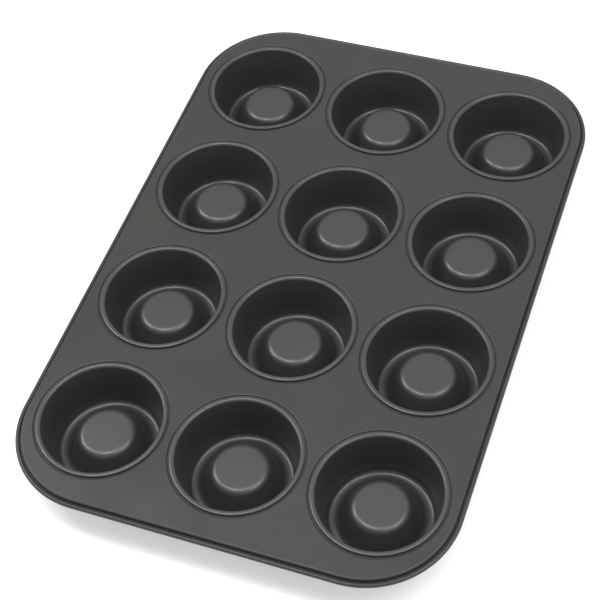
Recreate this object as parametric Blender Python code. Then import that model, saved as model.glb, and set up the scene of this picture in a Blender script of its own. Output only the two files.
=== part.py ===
"""A twelve-cup bakery pan: three columns and four rows of drawn cups in one pressed frame.

Frame of the part: metres, +Z up, origin on the surface that the pan stands on, under the middle of
the pan. X runs across the three columns and Y along the four rows.

The pan is sheet metal. The frame's holes have a sunk seat, each cup hangs in its hole by a curled
flange that stands a little proud of the frame, and the frame's edge steps down and curls round a
wire. A cup has a flat-topped plug raised from the middle of its floor, hollow from below.
"""

from math import asin, atan2, cos, hypot, pi, radians, sin, tan

import bmesh
import bpy
from mathutils import Vector

MM = 0.001

# Driving dimensions
WIDTH = 273.0 * MM
LENGTH = 400.0 * MM
CORNER_RADIUS = 56.0 * MM
COLUMN_PITCH = 86.5 * MM
ROW_PITCH = 94.0 * MM
DECK_HEIGHT = 31.2 * MM
SHEET = 0.5 * MM
GAP = 0.3 * MM

# Cup: radii and heights of its upper surface
MOUTH_RADIUS = 36.8 * MM
FLOOR_HEIGHT = SHEET
FLOOR_EDGE_RADIUS = 28.8 * MM
WALL_FILLET = 2.5 * MM
PLUG_TOP_HEIGHT = 16.4 * MM
PLUG_FLAT_RADIUS = 14.4 * MM
PLUG_SHOULDER = 4.5 * MM
PLUG_FOOT = 4.0 * MM
PLUG_SLOPE = radians(66)

# Flange that hangs the cup in the frame
FLANGE_RISE = 0.8 * MM
FLANGE_OUTER_RADIUS = 39.6 * MM
FLANGE_BEND = 0.8 * MM

# Seat sunk into the frame around each hole
SEAT_DROP = 0.6 * MM
SEAT_RADIUS = 41.0 * MM
SEAT_BREAK_RADIUS = 42.0 * MM
HOLE_RADIUS = 37.8 * MM

# Stepped and curled edge; depths are measured inwards from the pan's outermost line
WIRE_RADIUS = 0.6 * MM
CURL_RADIUS = WIRE_RADIUS + GAP + SHEET
CURL_CENTRE_HEIGHT = DECK_HEIGHT - 2.5 * MM
EDGE_BEND_DEPTH = 4.9 * MM
EDGE_BEND_RADIUS = 1.3 * MM
EDGE_BEND_ANGLE = radians(65)
VALLEY_FILLET = 0.45 * MM
CURL_START = radians(-45)
CURL_END = radians(225)

# Facets
CUP_SEGMENTS = 20
CORNER_SEGMENTS = 6
CURL_STEPS = 10
WIRE_SIDES = 8
WELD_DISTANCE = 0.001 * MM

COLUMN_NAMES = ("left", "middle", "right")
ROW_COUNT = 4


def clear_scene():
    for old in list(bpy.data.objects):
        bpy.data.objects.remove(old, do_unlink=True)


def coated_steel(name, colour, roughness, metallic):
    """A Principled BSDF material for a dark coated or a bare metal sheet."""
    material = bpy.data.materials.new(name)
    material.use_nodes = True
    shader = material.node_tree.nodes["Principled BSDF"]
    shader.inputs["Base Color"].default_value = (*colour, 1.0)
    shader.inputs["Roughness"].default_value = roughness
    shader.inputs["Metallic"].default_value = metallic
    material.diffuse_color = (*colour, 1.0)
    return material


def arc(centre, radius, start, end, steps):
    """Points round a centre, angles measured from straight up towards +X, both ends included."""
    points = []
    for step in range(steps + 1):
        angle = start + (end - start) * step / steps
        points.append((centre[0] + radius * sin(angle), centre[1] + radius * cos(angle)))
    return points


def link(name, mesh, material, parent):
    if not mesh.materials:
        mesh.materials.append(material)
    piece = bpy.data.objects.new(name, mesh)
    piece.parent = parent
    bpy.context.collection.objects.link(piece)
    return piece


def behind(path, distance):
    """The path moved sideways, to the right of its direction, with mitred corners."""
    points = [Vector(point) for point in path]
    sides = []
    for start, end in zip(points, points[1:]):
        along = (end - start).normalized()
        sides.append(Vector((along.y, -along.x)))
    moved = []
    for point, before, after in zip(points, sides[:1] + sides, sides + sides[-1:]):
        mitre = (before + after).normalized()
        moved.append(tuple(point + mitre * distance / mitre.dot(before)))
    return moved


def smooth_mesh(bm, name):
    mesh = bpy.data.meshes.new(name)
    bm.to_mesh(mesh)
    bm.free()
    mesh.shade_smooth()
    mesh.set_sharp_from_angle(angle=radians(40))
    return mesh


def wall_taper():
    """Angle from upright of the wall that runs from the mouth down to its fillet with the floor."""
    across = MOUTH_RADIUS - FLOOR_EDGE_RADIUS
    up = DECK_HEIGHT - FLOOR_HEIGHT - WALL_FILLET
    return atan2(across, up) - asin(WALL_FILLET / hypot(across, up))


def cup_profile():
    """The cup's upper surface, as (radius, height) from the plug's centre out to the flange's edge."""
    taper = wall_taper()
    shoulder_centre = (PLUG_FLAT_RADIUS, PLUG_TOP_HEIGHT - PLUG_SHOULDER)
    shoulder = arc(shoulder_centre, PLUG_SHOULDER, 0, PLUG_SLOPE, 3)
    foot_height = FLOOR_HEIGHT + PLUG_FOOT * (1 - cos(PLUG_SLOPE))
    run = (shoulder[-1][1] - foot_height) / tan(PLUG_SLOPE)
    foot_centre = (shoulder[-1][0] + run + PLUG_FOOT * sin(PLUG_SLOPE), FLOOR_HEIGHT + PLUG_FOOT)
    foot = arc(foot_centre, PLUG_FOOT, pi + PLUG_SLOPE, pi, 2)
    fillet_centre = (FLOOR_EDGE_RADIUS, FLOOR_HEIGHT + WALL_FILLET)
    floor_fillet = arc(fillet_centre, WALL_FILLET, pi, pi / 2 + taper, 2)
    top = DECK_HEIGHT + FLANGE_RISE
    flange = [
        (MOUTH_RADIUS, DECK_HEIGHT),
        (MOUTH_RADIUS + FLANGE_BEND, top),
        (FLANGE_OUTER_RADIUS - FLANGE_BEND / 2, top),
        (FLANGE_OUTER_RADIUS, top - FLANGE_BEND / 2),
        (FLANGE_OUTER_RADIUS, DECK_HEIGHT - SEAT_DROP + GAP),
    ]
    return [(0.0, PLUG_TOP_HEIGHT)] + shoulder + foot + floor_fillet + flange


def cup_mesh():
    """One drawn cup: the section through its sheet, turned about its own axis."""
    upper = cup_profile()
    section = upper + behind(upper, SHEET)[::-1]
    bm = bmesh.new()
    verts = [bm.verts.new((radius, 0, height)) for radius, height in section]
    edges = [bm.edges.new(pair) for pair in zip(verts, verts[1:])]
    bmesh.ops.spin(
        bm,
        geom=verts + edges,
        cent=(0, 0, 0),
        axis=(0, 0, 1),
        angle=2 * pi,
        steps=CUP_SEGMENTS,
        use_merge=True,
    )
    bmesh.ops.remove_doubles(bm, verts=bm.verts, dist=WELD_DISTANCE)
    bmesh.ops.recalc_face_normals(bm, faces=bm.faces)
    return smooth_mesh(bm, "cup")


def cup_places():
    """(name, x, y) of each cup, from the front row to the back row."""
    places = []
    for row in range(ROW_COUNT):
        y = (row - (ROW_COUNT - 1) / 2) * ROW_PITCH
        for column, side in enumerate(COLUMN_NAMES):
            places.append((f"cup_row_{row + 1}_{side}", (column - 1) * COLUMN_PITCH, y))
    return places


def add_cups(parent):
    mesh = cup_mesh()
    material = coated_steel("cup_coating", (0.086, 0.086, 0.085), 0.40, 0.0)
    for name, x, y in cup_places():
        cup = link(name, mesh, material, parent)
        cup.location = (x, y, 0)


def strips(bm, rings):
    """Quads between each closed ring of points and the next; returns the rings' vertices."""
    loops = [[bm.verts.new(point) for point in ring] for ring in rings]
    for near, far in zip(loops, loops[1:]):
        for index, corner in enumerate(near):
            bm.faces.new((near[index - 1], corner, far[index], far[index - 1]))
    return loops


def boundary(bm, loop):
    """The edges along a closed loop of vertices."""
    return [bm.edges.get((loop[index - 1], corner)) for index, corner in enumerate(loop)]


def outline(depth, height):
    """The pan's rounded outline, set in by depth."""
    corner = CORNER_RADIUS - depth
    across = WIDTH / 2 - CORNER_RADIUS
    along = LENGTH / 2 - CORNER_RADIUS
    points = []
    for quarter, (side_x, side_y) in enumerate(((1, 1), (-1, 1), (-1, -1), (1, -1))):
        for step in range(CORNER_SEGMENTS + 1):
            angle = (quarter + step / CORNER_SEGMENTS) * pi / 2
            x = side_x * across + corner * cos(angle)
            y = side_y * along + corner * sin(angle)
            points.append((x, y, height))
    return points


def hole_ring(x, y, radius, height):
    turns = [2 * pi * step / CUP_SEGMENTS for step in range(CUP_SEGMENTS)]
    return [(x + radius * cos(turn), y + radius * sin(turn), height) for turn in turns]


def valley(bend_end, curl_start):
    """The rounded valley between the line down from the edge's bend and the line up to the curl."""
    down = Vector((-cos(EDGE_BEND_ANGLE), -sin(EDGE_BEND_ANGLE)))
    back = Vector((cos(CURL_START), sin(CURL_START)))
    between = Vector(curl_start) - Vector(bend_end)
    reach = (between.x * -back.y + back.x * between.y) / (down.x * -back.y + back.x * down.y)
    corner = Vector(bend_end) + down * reach
    half_turn = (EDGE_BEND_ANGLE - CURL_START) / 2
    centre = corner - (down + back).normalized() * VALLEY_FILLET / cos(half_turn)
    return arc(centre, VALLEY_FILLET, pi - EDGE_BEND_ANGLE, pi - CURL_START, 2)


def edge_profile():
    """The frame's edge as (depth, height), from the flat deck outwards and round the curl."""
    bend_centre = (EDGE_BEND_DEPTH, DECK_HEIGHT - EDGE_BEND_RADIUS)
    bend = arc(bend_centre, EDGE_BEND_RADIUS, 0, -EDGE_BEND_ANGLE, 3)
    curl = arc((CURL_RADIUS, CURL_CENTRE_HEIGHT), CURL_RADIUS, -CURL_START, -CURL_END, CURL_STEPS)
    return bend + valley(bend[-1], curl[0]) + curl


def frame_mesh():
    """The pressed frame: flat deck, twelve sunk seats with their holes, stepped and curled edge."""
    bm = bmesh.new()
    edge = strips(bm, [outline(depth, height) for depth, height in edge_profile()])
    deck_edges = boundary(bm, edge[0])
    seat_height = DECK_HEIGHT - SEAT_DROP
    seat_profile = (
        (SEAT_BREAK_RADIUS, DECK_HEIGHT),
        (SEAT_RADIUS, seat_height),
        (HOLE_RADIUS, seat_height),
    )
    for _, x, y in cup_places():
        seat = strips(bm, [hole_ring(x, y, radius, height) for radius, height in seat_profile])
        deck_edges += boundary(bm, seat[0])
    deck = bmesh.ops.triangle_fill(bm, edges=deck_edges, use_beauty=True, normal=(0, 0, 1))
    bmesh.ops.recalc_face_normals(bm, faces=bm.faces)
    if next(face for face in deck["geom"] if isinstance(face, bmesh.types.BMFace)).normal.z < 0:
        bmesh.ops.reverse_faces(bm, faces=bm.faces)
    return smooth_mesh(bm, "pan_frame")


def add_frame(parent):
    """The frame, modelled as its upper surface and thickened below it."""
    material = coated_steel("frame_coating", (0.080, 0.080, 0.078), 0.40, 0.0)
    frame = link("pan_frame", frame_mesh(), material, parent)
    sheet = frame.modifiers.new("sheet", "SOLIDIFY")
    sheet.thickness = SHEET
    sheet.offset = -1.0
    sheet.use_even_offset = True


def add_rim_wire(parent):
    """The stiffening wire that the frame's edge is curled round: one butt-welded hoop."""
    bm = bmesh.new()
    centre = (CURL_RADIUS, CURL_CENTRE_HEIGHT)
    section = arc(centre, WIRE_RADIUS, 0, 2 * pi, WIRE_SIDES)
    strips(bm, [outline(depth, height) for depth, height in section])
    bmesh.ops.remove_doubles(bm, verts=bm.verts, dist=WELD_DISTANCE)
    bmesh.ops.recalc_face_normals(bm, faces=bm.faces)
    material = coated_steel("bare_wire", (0.35, 0.35, 0.34), 0.45, 1.0)
    link("rim_wire", smooth_mesh(bm, "rim_wire"), material, parent)


def build_pan():
    clear_scene()
    pan = bpy.data.objects.new("pan", None)
    bpy.context.collection.objects.link(pan)
    add_frame(pan)
    add_rim_wire(pan)
    add_cups(pan)


build_pan()
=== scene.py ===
"""A twelve-cup bakery pan in dark non-stick coated steel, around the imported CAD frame.

Every sheet-metal piece is rebuilt with fine curvature from a section: a chain of straight runs and
round bends, walked along like a turtle. Cups are turned from their section, and the frame's edge and
the wire follow the pan's rounded outline. Sizes are in metres.
"""

from math import cos, pi, radians, sin

import bmesh
import bpy
from mathutils import Matrix, Vector


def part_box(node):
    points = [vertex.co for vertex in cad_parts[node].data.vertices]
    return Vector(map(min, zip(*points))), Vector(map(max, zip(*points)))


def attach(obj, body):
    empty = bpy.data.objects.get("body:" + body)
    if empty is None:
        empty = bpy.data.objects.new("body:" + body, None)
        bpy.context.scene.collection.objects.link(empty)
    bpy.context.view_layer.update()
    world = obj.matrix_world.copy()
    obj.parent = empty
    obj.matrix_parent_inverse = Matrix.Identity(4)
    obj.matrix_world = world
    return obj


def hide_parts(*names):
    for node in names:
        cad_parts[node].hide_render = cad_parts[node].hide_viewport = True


MM = 0.001

# Sheet metal
SHEET = 0.5 * MM
WELD_DISTANCE = 0.001 * MM
BEND_STEP = radians(9)

# Cup section
PLUG_HEIGHT = 16.4 * MM
PLUG_FLAT_RADIUS = 13.5 * MM
PLUG_SHOULDER = 5.6 * MM
PLUG_SLOPE = radians(61)
PLUG_FOOT = 4.5 * MM
FLOOR_TOP = SHEET
FLOOR_EDGE_RADIUS = 28.9 * MM
FLOOR_FILLET = 2.9 * MM
RING_RADIUS = 39.7 * MM
RING_INNER_BEND = 1.9 * MM
RING_CROWN = 2.2 * MM
RING_CROWN_ANGLE = radians(22)
RING_OUTER_BEND = 0.8 * MM
RING_LEG = 0.5 * MM
CUP_SEGMENTS = 96
CUP_SHARP_ANGLE = radians(50)
WALL_ANGLE_RANGE = (radians(60), radians(90))
WALL_ANGLE_TOLERANCE = radians(0.001)

# Seat around each hole of the frame
SEAT_DROP = 0.85 * MM
HOLE_RADIUS = 37.8 * MM
SEAT_FLAT_END = 40.5 * MM
SEAT_SLOPE = radians(55)
SEAT_HOLLOW = 0.2 * MM
SEAT_BREAK = 0.8 * MM

# Stepped and curled edge
CORNER_RADIUS = 56.0 * MM
EDGE_BREAK = 1.1 * MM
EDGE_SLOPE = radians(82)
EDGE_RUN = 1.5 * MM
VALLEY_HOLLOW = 0.3 * MM
CURL_RADIUS = 1.35 * MM
CURL_START = radians(-80)
CURL_END = radians(228)
WIRE_RADIUS = 0.6 * MM
WIRE_SIDES = 20
CORNER_SEGMENTS = 24
DECK_BORDER = 0.6 * MM
FRAME_SHARP_ANGLE = radians(60)

# Coating
FRAME_TONE = (0.0343, 0.0346, 0.0323)
CUP_TONE = (0.0365, 0.0367, 0.0356)
FRAME_GLOSS = 0.50
CUP_GLOSS = 0.76
FRAME_ROUGHNESS = 0.33
CUP_ROUGHNESS = 0.36
ROUGHNESS_SPREAD = 0.04
MOTTLE_SIZE = 45 * MM
MOTTLE_TINT = (1.12, 1.06, 1.02)
PEEL_SIZE = 2.2 * MM
PEEL_BUMP = {"strength": 0.12, "distance": 0.2 * MM}
SPECKLE_SIZE = 0.9 * MM
SPECKLE_TINT = (1.25, 1.25, 1.25)
SPECKLE_SHARE = 0.35
SPECKLE_BUMP = {"strength": 0.08, "distance": 0.05 * MM}

# Bare wire
WIRE_DARK = (0.30, 0.30, 0.29, 1)
WIRE_LIGHT = (0.42, 0.41, 0.40, 1)
WIRE_ROUGHNESS = (0.32, 0.5)
DULL_SIZE = 12 * MM
SCRATCH_SIZE = 0.6 * MM
SCRATCH_STRETCH = (0.1, 0.1, 1)
SCRATCH_BUMP = {"strength": 0.1, "distance": 0.05 * MM}

# Floor
FLOOR_REACH = 6
FLOOR_DARK = (0.86, 0.86, 0.86, 1)
FLOOR_LIGHT = (0.88, 0.88, 0.88, 1)
FLOOR_MOTTLE_SIZE = 0.4
FLOOR_ROUGHNESS = 0.9
FLOOR_GLOSS = 0.1
FLOOR_GLOW = 0.4

# Light: the sky is brightest towards WORLD_AZIMUTH, and softbox angles are in degrees
WHITE = (1.0, 1.0, 1.0, 1.0)
WORLD_STRENGTH = 0.97
WORLD_SHADE = 0.33
WORLD_AZIMUTH = radians(60)
LIGHT_DISTANCE = 1.5
SOFTBOXES = {
    "left": {"azimuth": 178, "elevation": 50, "size": 0.4, "power": 5.9},
    "top_left": {"azimuth": 207, "elevation": 77.5, "size": 0.3, "power": 5.8},
    "top_right": {"azimuth": 353, "elevation": 65, "size": 0.75, "power": 7.4},
}

# Camera
CAMERA_PLACE = (0.2424, -0.5147, 0.7607)
CAMERA_TARGET = (0.0159, -0.0211, 0.0312)
CAMERA_ROLL = radians(-7.03)
CAMERA_LENS = 88.1
CAMERA_SENSOR = 36.0
CAMERA_SHIFT = -0.05


class Section:
    """A path through sheet metal in (out, up), walked with the sheet's upper normal at an angle.

    The angle is measured from straight up towards the outside. Bends with a positive radius are
    convex, and those with a negative radius are hollow.
    """

    def __init__(self, out, up, angle=0.0):
        self.points = [Vector((out, up))]
        self.angle = angle

    def run(self, length):
        step = Vector((cos(self.angle), -sin(self.angle))) * length
        self.points.append(self.points[-1] + step)
        return self

    def bend(self, radius, angle):
        centre = self.points[-1] - Vector((sin(self.angle), cos(self.angle))) * radius
        steps = max(2, round(abs(angle - self.angle) / BEND_STEP))
        for step in range(1, steps + 1):
            turn = self.angle + (angle - self.angle) * step / steps
            self.points.append(centre + Vector((sin(turn), cos(turn))) * radius)
        self.angle = angle
        return self

    def underside(self, thickness):
        """The same path on the sheet's other face."""
        sides = []
        for start, end in zip(self.points, self.points[1:]):
            along = (end - start).normalized()
            sides.append(Vector((along.y, -along.x)))
        moved = []
        for point, before, after in zip(self.points, sides[:1] + sides, sides + sides[-1:]):
            mitre = (before + after).normalized()
            moved.append(point + mitre * thickness / mitre.dot(before))
        return moved


def bend_drop(radius, angle):
    """How far a sheet falls or rises through a bend between level and angle."""
    return radius * (1 - cos(angle))


def cup_section(height, wall):
    """The cup's upper surface from the plug's centre to the flange's edge.

    The cup is that tall, and its wall stands at the angle wall from level.
    """
    fall = PLUG_HEIGHT - FLOOR_TOP - bend_drop(PLUG_SHOULDER + PLUG_FOOT, PLUG_SLOPE)
    section = Section(0, PLUG_HEIGHT).run(PLUG_FLAT_RADIUS)
    section.bend(PLUG_SHOULDER, PLUG_SLOPE).run(fall / sin(PLUG_SLOPE)).bend(-PLUG_FOOT, 0)
    section.run(FLOOR_EDGE_RADIUS - section.points[-1].x)
    ring_rise = RING_INNER_BEND * (cos(RING_CROWN_ANGLE) - cos(wall))
    ring_rise += bend_drop(RING_CROWN, RING_CROWN_ANGLE)
    rise = height - FLOOR_TOP - bend_drop(FLOOR_FILLET, wall) - ring_rise
    section.bend(-FLOOR_FILLET, -wall).run(rise / sin(wall))
    section.bend(RING_INNER_BEND, -RING_CROWN_ANGLE).bend(RING_CROWN, RING_CROWN_ANGLE)
    return section.bend(RING_OUTER_BEND, pi / 2).run(RING_LEG)


def fitted_cup_section(height):
    """The cup section whose wall stands so that the flange ends at RING_RADIUS."""
    low, high = WALL_ANGLE_RANGE
    while high - low > WALL_ANGLE_TOLERANCE:
        wall = (low + high) / 2
        if cup_section(height, wall).points[-1].x > RING_RADIUS:
            low = wall
        else:
            high = wall
    return cup_section(height, high)


def seat_section(deck):
    """The frame's upper surface from the edge of a hole, over the sunk seat, to the flat deck."""
    fall = SEAT_DROP - bend_drop(SEAT_HOLLOW + SEAT_BREAK, SEAT_SLOPE)
    section = Section(HOLE_RADIUS, deck - SEAT_DROP).run(SEAT_FLAT_END - HOLE_RADIUS)
    section.bend(-SEAT_HOLLOW, -SEAT_SLOPE).run(fall / sin(SEAT_SLOPE)).bend(SEAT_BREAK, 0)
    return section.run(DECK_BORDER)


def edge_section(deck):
    """The frame's upper surface from the flat deck, down the step and round the curl."""
    section = Section(0, deck).run(DECK_BORDER).bend(EDGE_BREAK, EDGE_SLOPE).run(EDGE_RUN)
    return section.bend(-VALLEY_HOLLOW, CURL_START).bend(CURL_RADIUS, CURL_END)


def new_object(name, mesh, material):
    if not mesh.materials:
        mesh.materials.append(material)
    piece = bpy.data.objects.new(name, mesh)
    bpy.context.collection.objects.link(piece)
    return piece


def smooth_mesh(bm, name, sharp_angle):
    mesh = bpy.data.meshes.new(name)
    bm.to_mesh(mesh)
    bm.free()
    mesh.shade_smooth()
    mesh.set_sharp_from_angle(angle=sharp_angle)
    return mesh


def flat_by_area(piece):
    """Keeps a wide flat face flat in shading beside a narrow bend."""
    weighted = piece.modifiers.new("shading", "WEIGHTED_NORMAL")
    weighted.keep_sharp = True


def turned_mesh(name, section):
    """A sheet piece turned about Z from its section."""
    outline = section.points + section.underside(SHEET)[::-1]
    bm = bmesh.new()
    verts = [bm.verts.new((point.x, 0, point.y)) for point in outline]
    edges = [bm.edges.new(pair) for pair in zip(verts, verts[1:])]
    geometry = verts + edges
    axis = {"cent": (0, 0, 0), "axis": (0, 0, 1), "angle": 2 * pi}
    bmesh.ops.spin(bm, geom=geometry, steps=CUP_SEGMENTS, use_merge=True, **axis)
    bmesh.ops.remove_doubles(bm, verts=bm.verts, dist=WELD_DISTANCE)
    bmesh.ops.recalc_face_normals(bm, faces=bm.faces)
    return smooth_mesh(bm, name, CUP_SHARP_ANGLE)


def strips(bm, rings):
    """Quads between each closed ring of points and the next; returns the rings' vertices."""
    loops = [[bm.verts.new(point) for point in ring] for ring in rings]
    for near, far in zip(loops, loops[1:]):
        for index, corner in enumerate(near):
            bm.faces.new((near[index - 1], corner, far[index], far[index - 1]))
    return loops


def boundary(bm, loop):
    return [bm.edges.get((loop[index - 1], corner)) for index, corner in enumerate(loop)]


class Outline:
    """The pan's rounded outline, and lines set in from it."""

    def __init__(self, low, high):
        self.across = (high.x - low.x) / 2 - CORNER_RADIUS
        self.along = (high.y - low.y) / 2 - CORNER_RADIUS

    def ring(self, depth, height):
        corner = CORNER_RADIUS - depth
        points = []
        for quarter, (side_x, side_y) in enumerate(((1, 1), (-1, 1), (-1, -1), (1, -1))):
            for step in range(CORNER_SEGMENTS + 1):
                angle = (quarter + step / CORNER_SEGMENTS) * pi / 2
                x = side_x * self.across + corner * cos(angle)
                y = side_y * self.along + corner * sin(angle)
                points.append((x, y, height))
        return points


def circle(centre, radius, height):
    turns = [2 * pi * step / CUP_SEGMENTS for step in range(CUP_SEGMENTS)]
    return [(centre.x + radius * cos(turn), centre.y + radius * sin(turn), height) for turn in turns]


def add_frame(outline, deck, centres, material):
    """The pressed frame sheet with its twelve seats and its stepped, curled edge."""
    bm = bmesh.new()
    section = edge_section(deck)
    reach = max(point.x for point in section.points)
    edge = strips(bm, [outline.ring(reach - point.x, point.y) for point in section.points])
    deck_edges = boundary(bm, edge[0])
    for centre in centres:
        seat = strips(bm, [circle(centre, point.x, point.y) for point in seat_section(deck).points])
        deck_edges += boundary(bm, seat[-1])
    filled = bmesh.ops.triangle_fill(bm, edges=deck_edges, use_beauty=True, normal=(0, 0, 1))
    bmesh.ops.recalc_face_normals(bm, faces=bm.faces)
    if next(face for face in filled["geom"] if isinstance(face, bmesh.types.BMFace)).normal.z < 0:
        bmesh.ops.reverse_faces(bm, faces=bm.faces)
    mesh = smooth_mesh(bm, "frame_sheet", FRAME_SHARP_ANGLE)
    frame_piece = new_object("frame_sheet", mesh, material)
    sheet = frame_piece.modifiers.new("sheet", "SOLIDIFY")
    sheet.thickness = SHEET
    sheet.offset = -1.0
    sheet.use_even_offset = True
    flat_by_area(frame_piece)
    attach(frame_piece, "root")
    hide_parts("pan_frame")
    return section.points


def add_wire(outline, edge_points, material):
    """The wire that the edge is curled round."""
    height = max(edge_points, key=lambda point: point.x).y
    rings = []
    for step in range(WIRE_SIDES + 1):
        turn = 2 * pi * step / WIRE_SIDES
        depth = CURL_RADIUS + WIRE_RADIUS * cos(turn)
        rings.append(outline.ring(depth, height + WIRE_RADIUS * sin(turn)))
    bm = bmesh.new()
    strips(bm, rings)
    bmesh.ops.remove_doubles(bm, verts=bm.verts, dist=WELD_DISTANCE)
    bmesh.ops.recalc_face_normals(bm, faces=bm.faces)
    wire = new_object("edge_wire", smooth_mesh(bm, "edge_wire", FRAME_SHARP_ANGLE), material)
    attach(wire, "root")
    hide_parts("rim_wire")


def add_cups(places, height, material):
    """Twelve drawn cups of one mesh."""
    mesh = turned_mesh("drawn_cup", fitted_cup_section(height))
    for node, centre in places.items():
        cup = new_object(node.replace("cup_", "drawn_cup_"), mesh, material)
        cup.location = (centre.x, centre.y, 0)
        flat_by_area(cup)
        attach(cup, "root")
        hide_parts(node)


class Nodes:
    """Short forms for building a material's node tree."""

    def __init__(self, name):
        self.material = bpy.data.materials.new(name)
        self.material.use_nodes = True
        self.tree = self.material.node_tree
        self.shader = self.tree.nodes["Principled BSDF"]
        self.place = self.add("ShaderNodeTexCoord").outputs["Object"]

    def add(self, kind, **values):
        node = self.tree.nodes.new(kind)
        for key, value in values.items():
            setattr(node, key, value)
        return node

    def join(self, output, socket):
        self.tree.links.new(output, socket)

    def noise(self, size, detail=3.0, rough=0.5, stretch=(1, 1, 1)):
        """Noise whose blotches are about size across, in metres."""
        mapping = self.add("ShaderNodeMapping")
        mapping.inputs["Scale"].default_value = [factor / size for factor in stretch]
        self.join(self.place, mapping.inputs["Vector"])
        noise = self.add("ShaderNodeTexNoise")
        noise.inputs["Scale"].default_value = 1.0
        noise.inputs["Detail"].default_value = detail
        noise.inputs["Roughness"].default_value = rough
        self.join(mapping.outputs["Vector"], noise.inputs["Vector"])
        return noise.outputs["Fac"]

    def spread(self, value, low, high, start=0.3, end=0.7):
        """Value between start and end mapped to low and high."""
        ramp = self.add("ShaderNodeMapRange")
        ramp.inputs["From Min"].default_value = start
        ramp.inputs["From Max"].default_value = end
        ramp.inputs["To Min"].default_value = low
        ramp.inputs["To Max"].default_value = high
        self.join(value, ramp.inputs["Value"])
        return ramp.outputs["Result"]

    def mix(self, factor, first, second, blend="MIX"):
        """Colours mixed by factor; each colour is a tuple or another node's output."""
        mixer = self.add("ShaderNodeMix", data_type="RGBA", blend_type=blend)
        for value, socket in ((factor, 0), (first, 6), (second, 7)):
            if isinstance(value, bpy.types.NodeSocket):
                self.join(value, mixer.inputs[socket])
            else:
                mixer.inputs[socket].default_value = value
        return mixer.outputs[2]

    def bump(self, height, strength, distance, before=None):
        node = self.add("ShaderNodeBump")
        node.inputs["Strength"].default_value = strength
        node.inputs["Distance"].default_value = distance
        self.join(height, node.inputs["Height"])
        if before:
            self.join(before, node.inputs["Normal"])
        return node.outputs["Normal"]


def tinted(tone, tint):
    return (*(value * factor for value, factor in zip(tone, tint)), 1.0)


def coating(name, tone, gloss, roughness):
    """Dark grey non-stick coating: faint mottling, fine speckle, soft orange peel."""
    nodes = Nodes(name)
    mottle = nodes.noise(MOTTLE_SIZE, detail=4)
    speckle = nodes.noise(SPECKLE_SIZE, detail=2, rough=0.6)
    peel = nodes.noise(PEEL_SIZE, detail=3)
    base = (*tone, 1.0)
    colour = nodes.mix(nodes.spread(mottle, 0.0, 1.0, 0.35, 0.65), base, tinted(tone, MOTTLE_TINT))
    share = nodes.spread(speckle, 0.0, SPECKLE_SHARE, 0.55, 0.8)
    colour = nodes.mix(share, colour, tinted(tone, SPECKLE_TINT))
    nodes.join(colour, nodes.shader.inputs["Base Color"])
    rough = nodes.spread(mottle, roughness - ROUGHNESS_SPREAD, roughness + ROUGHNESS_SPREAD)
    nodes.join(rough, nodes.shader.inputs["Roughness"])
    normal = nodes.bump(peel, **PEEL_BUMP)
    normal = nodes.bump(speckle, **SPECKLE_BUMP, before=normal)
    nodes.join(normal, nodes.shader.inputs["Normal"])
    nodes.shader.inputs["Metallic"].default_value = 0.0
    nodes.shader.inputs["Specular IOR Level"].default_value = gloss
    return nodes.material


def bare_steel(name):
    """Drawn wire: metal with fine scratches and dull patches."""
    nodes = Nodes(name)
    dull = nodes.noise(DULL_SIZE, detail=4)
    scratch = nodes.noise(SCRATCH_SIZE, detail=2, stretch=SCRATCH_STRETCH)
    colour = nodes.mix(nodes.spread(dull, 0.0, 1.0), WIRE_DARK, WIRE_LIGHT)
    nodes.join(colour, nodes.shader.inputs["Base Color"])
    nodes.join(nodes.spread(dull, *WIRE_ROUGHNESS), nodes.shader.inputs["Roughness"])
    nodes.join(nodes.bump(scratch, **SCRATCH_BUMP), nodes.shader.inputs["Normal"])
    nodes.shader.inputs["Metallic"].default_value = 1.0
    return nodes.material


def add_floor():
    """A plain pale floor that glows a little, so that the pan's shadow on it stays soft."""
    bm = bmesh.new()
    bmesh.ops.create_grid(bm, x_segments=1, y_segments=1, size=FLOOR_REACH)
    mesh = bpy.data.meshes.new("floor")
    bm.to_mesh(mesh)
    bm.free()
    nodes = Nodes("floor_paint")
    mottle = nodes.spread(nodes.noise(FLOOR_MOTTLE_SIZE), 0.0, 1.0)
    nodes.join(nodes.mix(mottle, FLOOR_DARK, FLOOR_LIGHT), nodes.shader.inputs["Base Color"])
    nodes.shader.inputs["Roughness"].default_value = FLOOR_ROUGHNESS
    nodes.shader.inputs["Specular IOR Level"].default_value = FLOOR_GLOSS
    nodes.shader.inputs["Emission Color"].default_value = WHITE
    nodes.shader.inputs["Emission Strength"].default_value = FLOOR_GLOW
    new_object("floor", mesh, nodes.material)


def add_softbox(name, azimuth, elevation, size, power):
    """A square area light facing the pan; azimuth from +X, elevation from the floor, in degrees."""
    turn, rise = radians(azimuth), radians(elevation)
    place = Vector((cos(turn) * cos(rise), sin(turn) * cos(rise), sin(rise))) * LIGHT_DISTANCE
    data = bpy.data.lights.new(name, "AREA")
    data.size = size
    data.energy = power
    light = bpy.data.objects.new(name, data)
    light.location = place
    light.rotation_euler = (-place).to_track_quat("-Z", "Y").to_euler()
    bpy.context.collection.objects.link(light)


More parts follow.
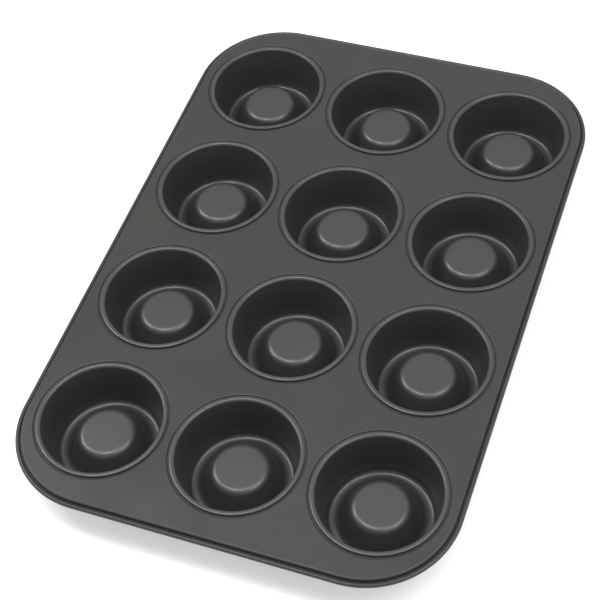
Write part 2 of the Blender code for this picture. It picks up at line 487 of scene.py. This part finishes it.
def add_sky():
    """A plain white sky whose strength goes evenly from one side of the horizon to the other."""
    world = bpy.data.worlds.new("studio")
    world.use_nodes = True
    tree = world.node_tree
    background = tree.nodes["Background"]
    background.inputs["Color"].default_value = WHITE
    place = tree.nodes.new("ShaderNodeTexCoord")
    towards = tree.nodes.new("ShaderNodeVectorMath")
    towards.operation = "DOT_PRODUCT"
    towards.inputs[1].default_value = (cos(WORLD_AZIMUTH), sin(WORLD_AZIMUTH), 0)
    strength = tree.nodes.new("ShaderNodeMapRange")
    strength.inputs["From Min"].default_value = -1.0
    strength.inputs["To Min"].default_value = WORLD_SHADE
    strength.inputs["To Max"].default_value = WORLD_STRENGTH
    tree.links.new(place.outputs["Generated"], towards.inputs[0])
    tree.links.new(towards.outputs["Value"], strength.inputs["Value"])
    tree.links.new(strength.outputs["Result"], background.inputs["Strength"])
    bpy.context.scene.world = world


def add_camera():
    data = bpy.data.cameras.new("camera")
    data.lens = CAMERA_LENS
    data.sensor_width = CAMERA_SENSOR
    data.shift_x = CAMERA_SHIFT
    camera = bpy.data.objects.new("camera", data)
    view = Vector(CAMERA_TARGET) - Vector(CAMERA_PLACE)
    turn = view.to_track_quat("-Z", "Y").to_matrix() @ Matrix.Rotation(CAMERA_ROLL, 3, "Z")
    camera.matrix_world = Matrix.Translation(CAMERA_PLACE) @ turn.to_4x4()
    bpy.context.collection.objects.link(camera)
    bpy.context.scene.camera = camera
    bpy.context.scene.view_settings.view_transform = "Standard"


def build_pan(frame):
    places = {}
    for node in sorted(node for node in frame["nodes"] if node.startswith("cup_")):
        low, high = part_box(node)
        places[node] = (low + high) / 2
    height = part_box("cup_row_1_left")[1].z
    low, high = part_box("pan_frame")
    outline = Outline(low, high)
    frame_paint = coating("frame_paint", FRAME_TONE, FRAME_GLOSS, FRAME_ROUGHNESS)
    edge_points = add_frame(outline, high.z, places.values(), frame_paint)
    add_wire(outline, edge_points, bare_steel("wire_steel"))
    add_cups(places, height, coating("cup_paint", CUP_TONE, CUP_GLOSS, CUP_ROUGHNESS))


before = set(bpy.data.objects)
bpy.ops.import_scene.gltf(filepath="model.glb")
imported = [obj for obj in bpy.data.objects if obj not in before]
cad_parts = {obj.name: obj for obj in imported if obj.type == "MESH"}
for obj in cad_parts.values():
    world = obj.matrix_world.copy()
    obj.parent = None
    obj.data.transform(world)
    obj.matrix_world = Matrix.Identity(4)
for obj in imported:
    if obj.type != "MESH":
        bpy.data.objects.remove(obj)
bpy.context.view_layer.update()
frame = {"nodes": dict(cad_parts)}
build_pan(frame)
add_floor()
add_sky()
for softbox_name, softbox in SOFTBOXES.items():
    add_softbox(softbox_name, **softbox)
add_camera()
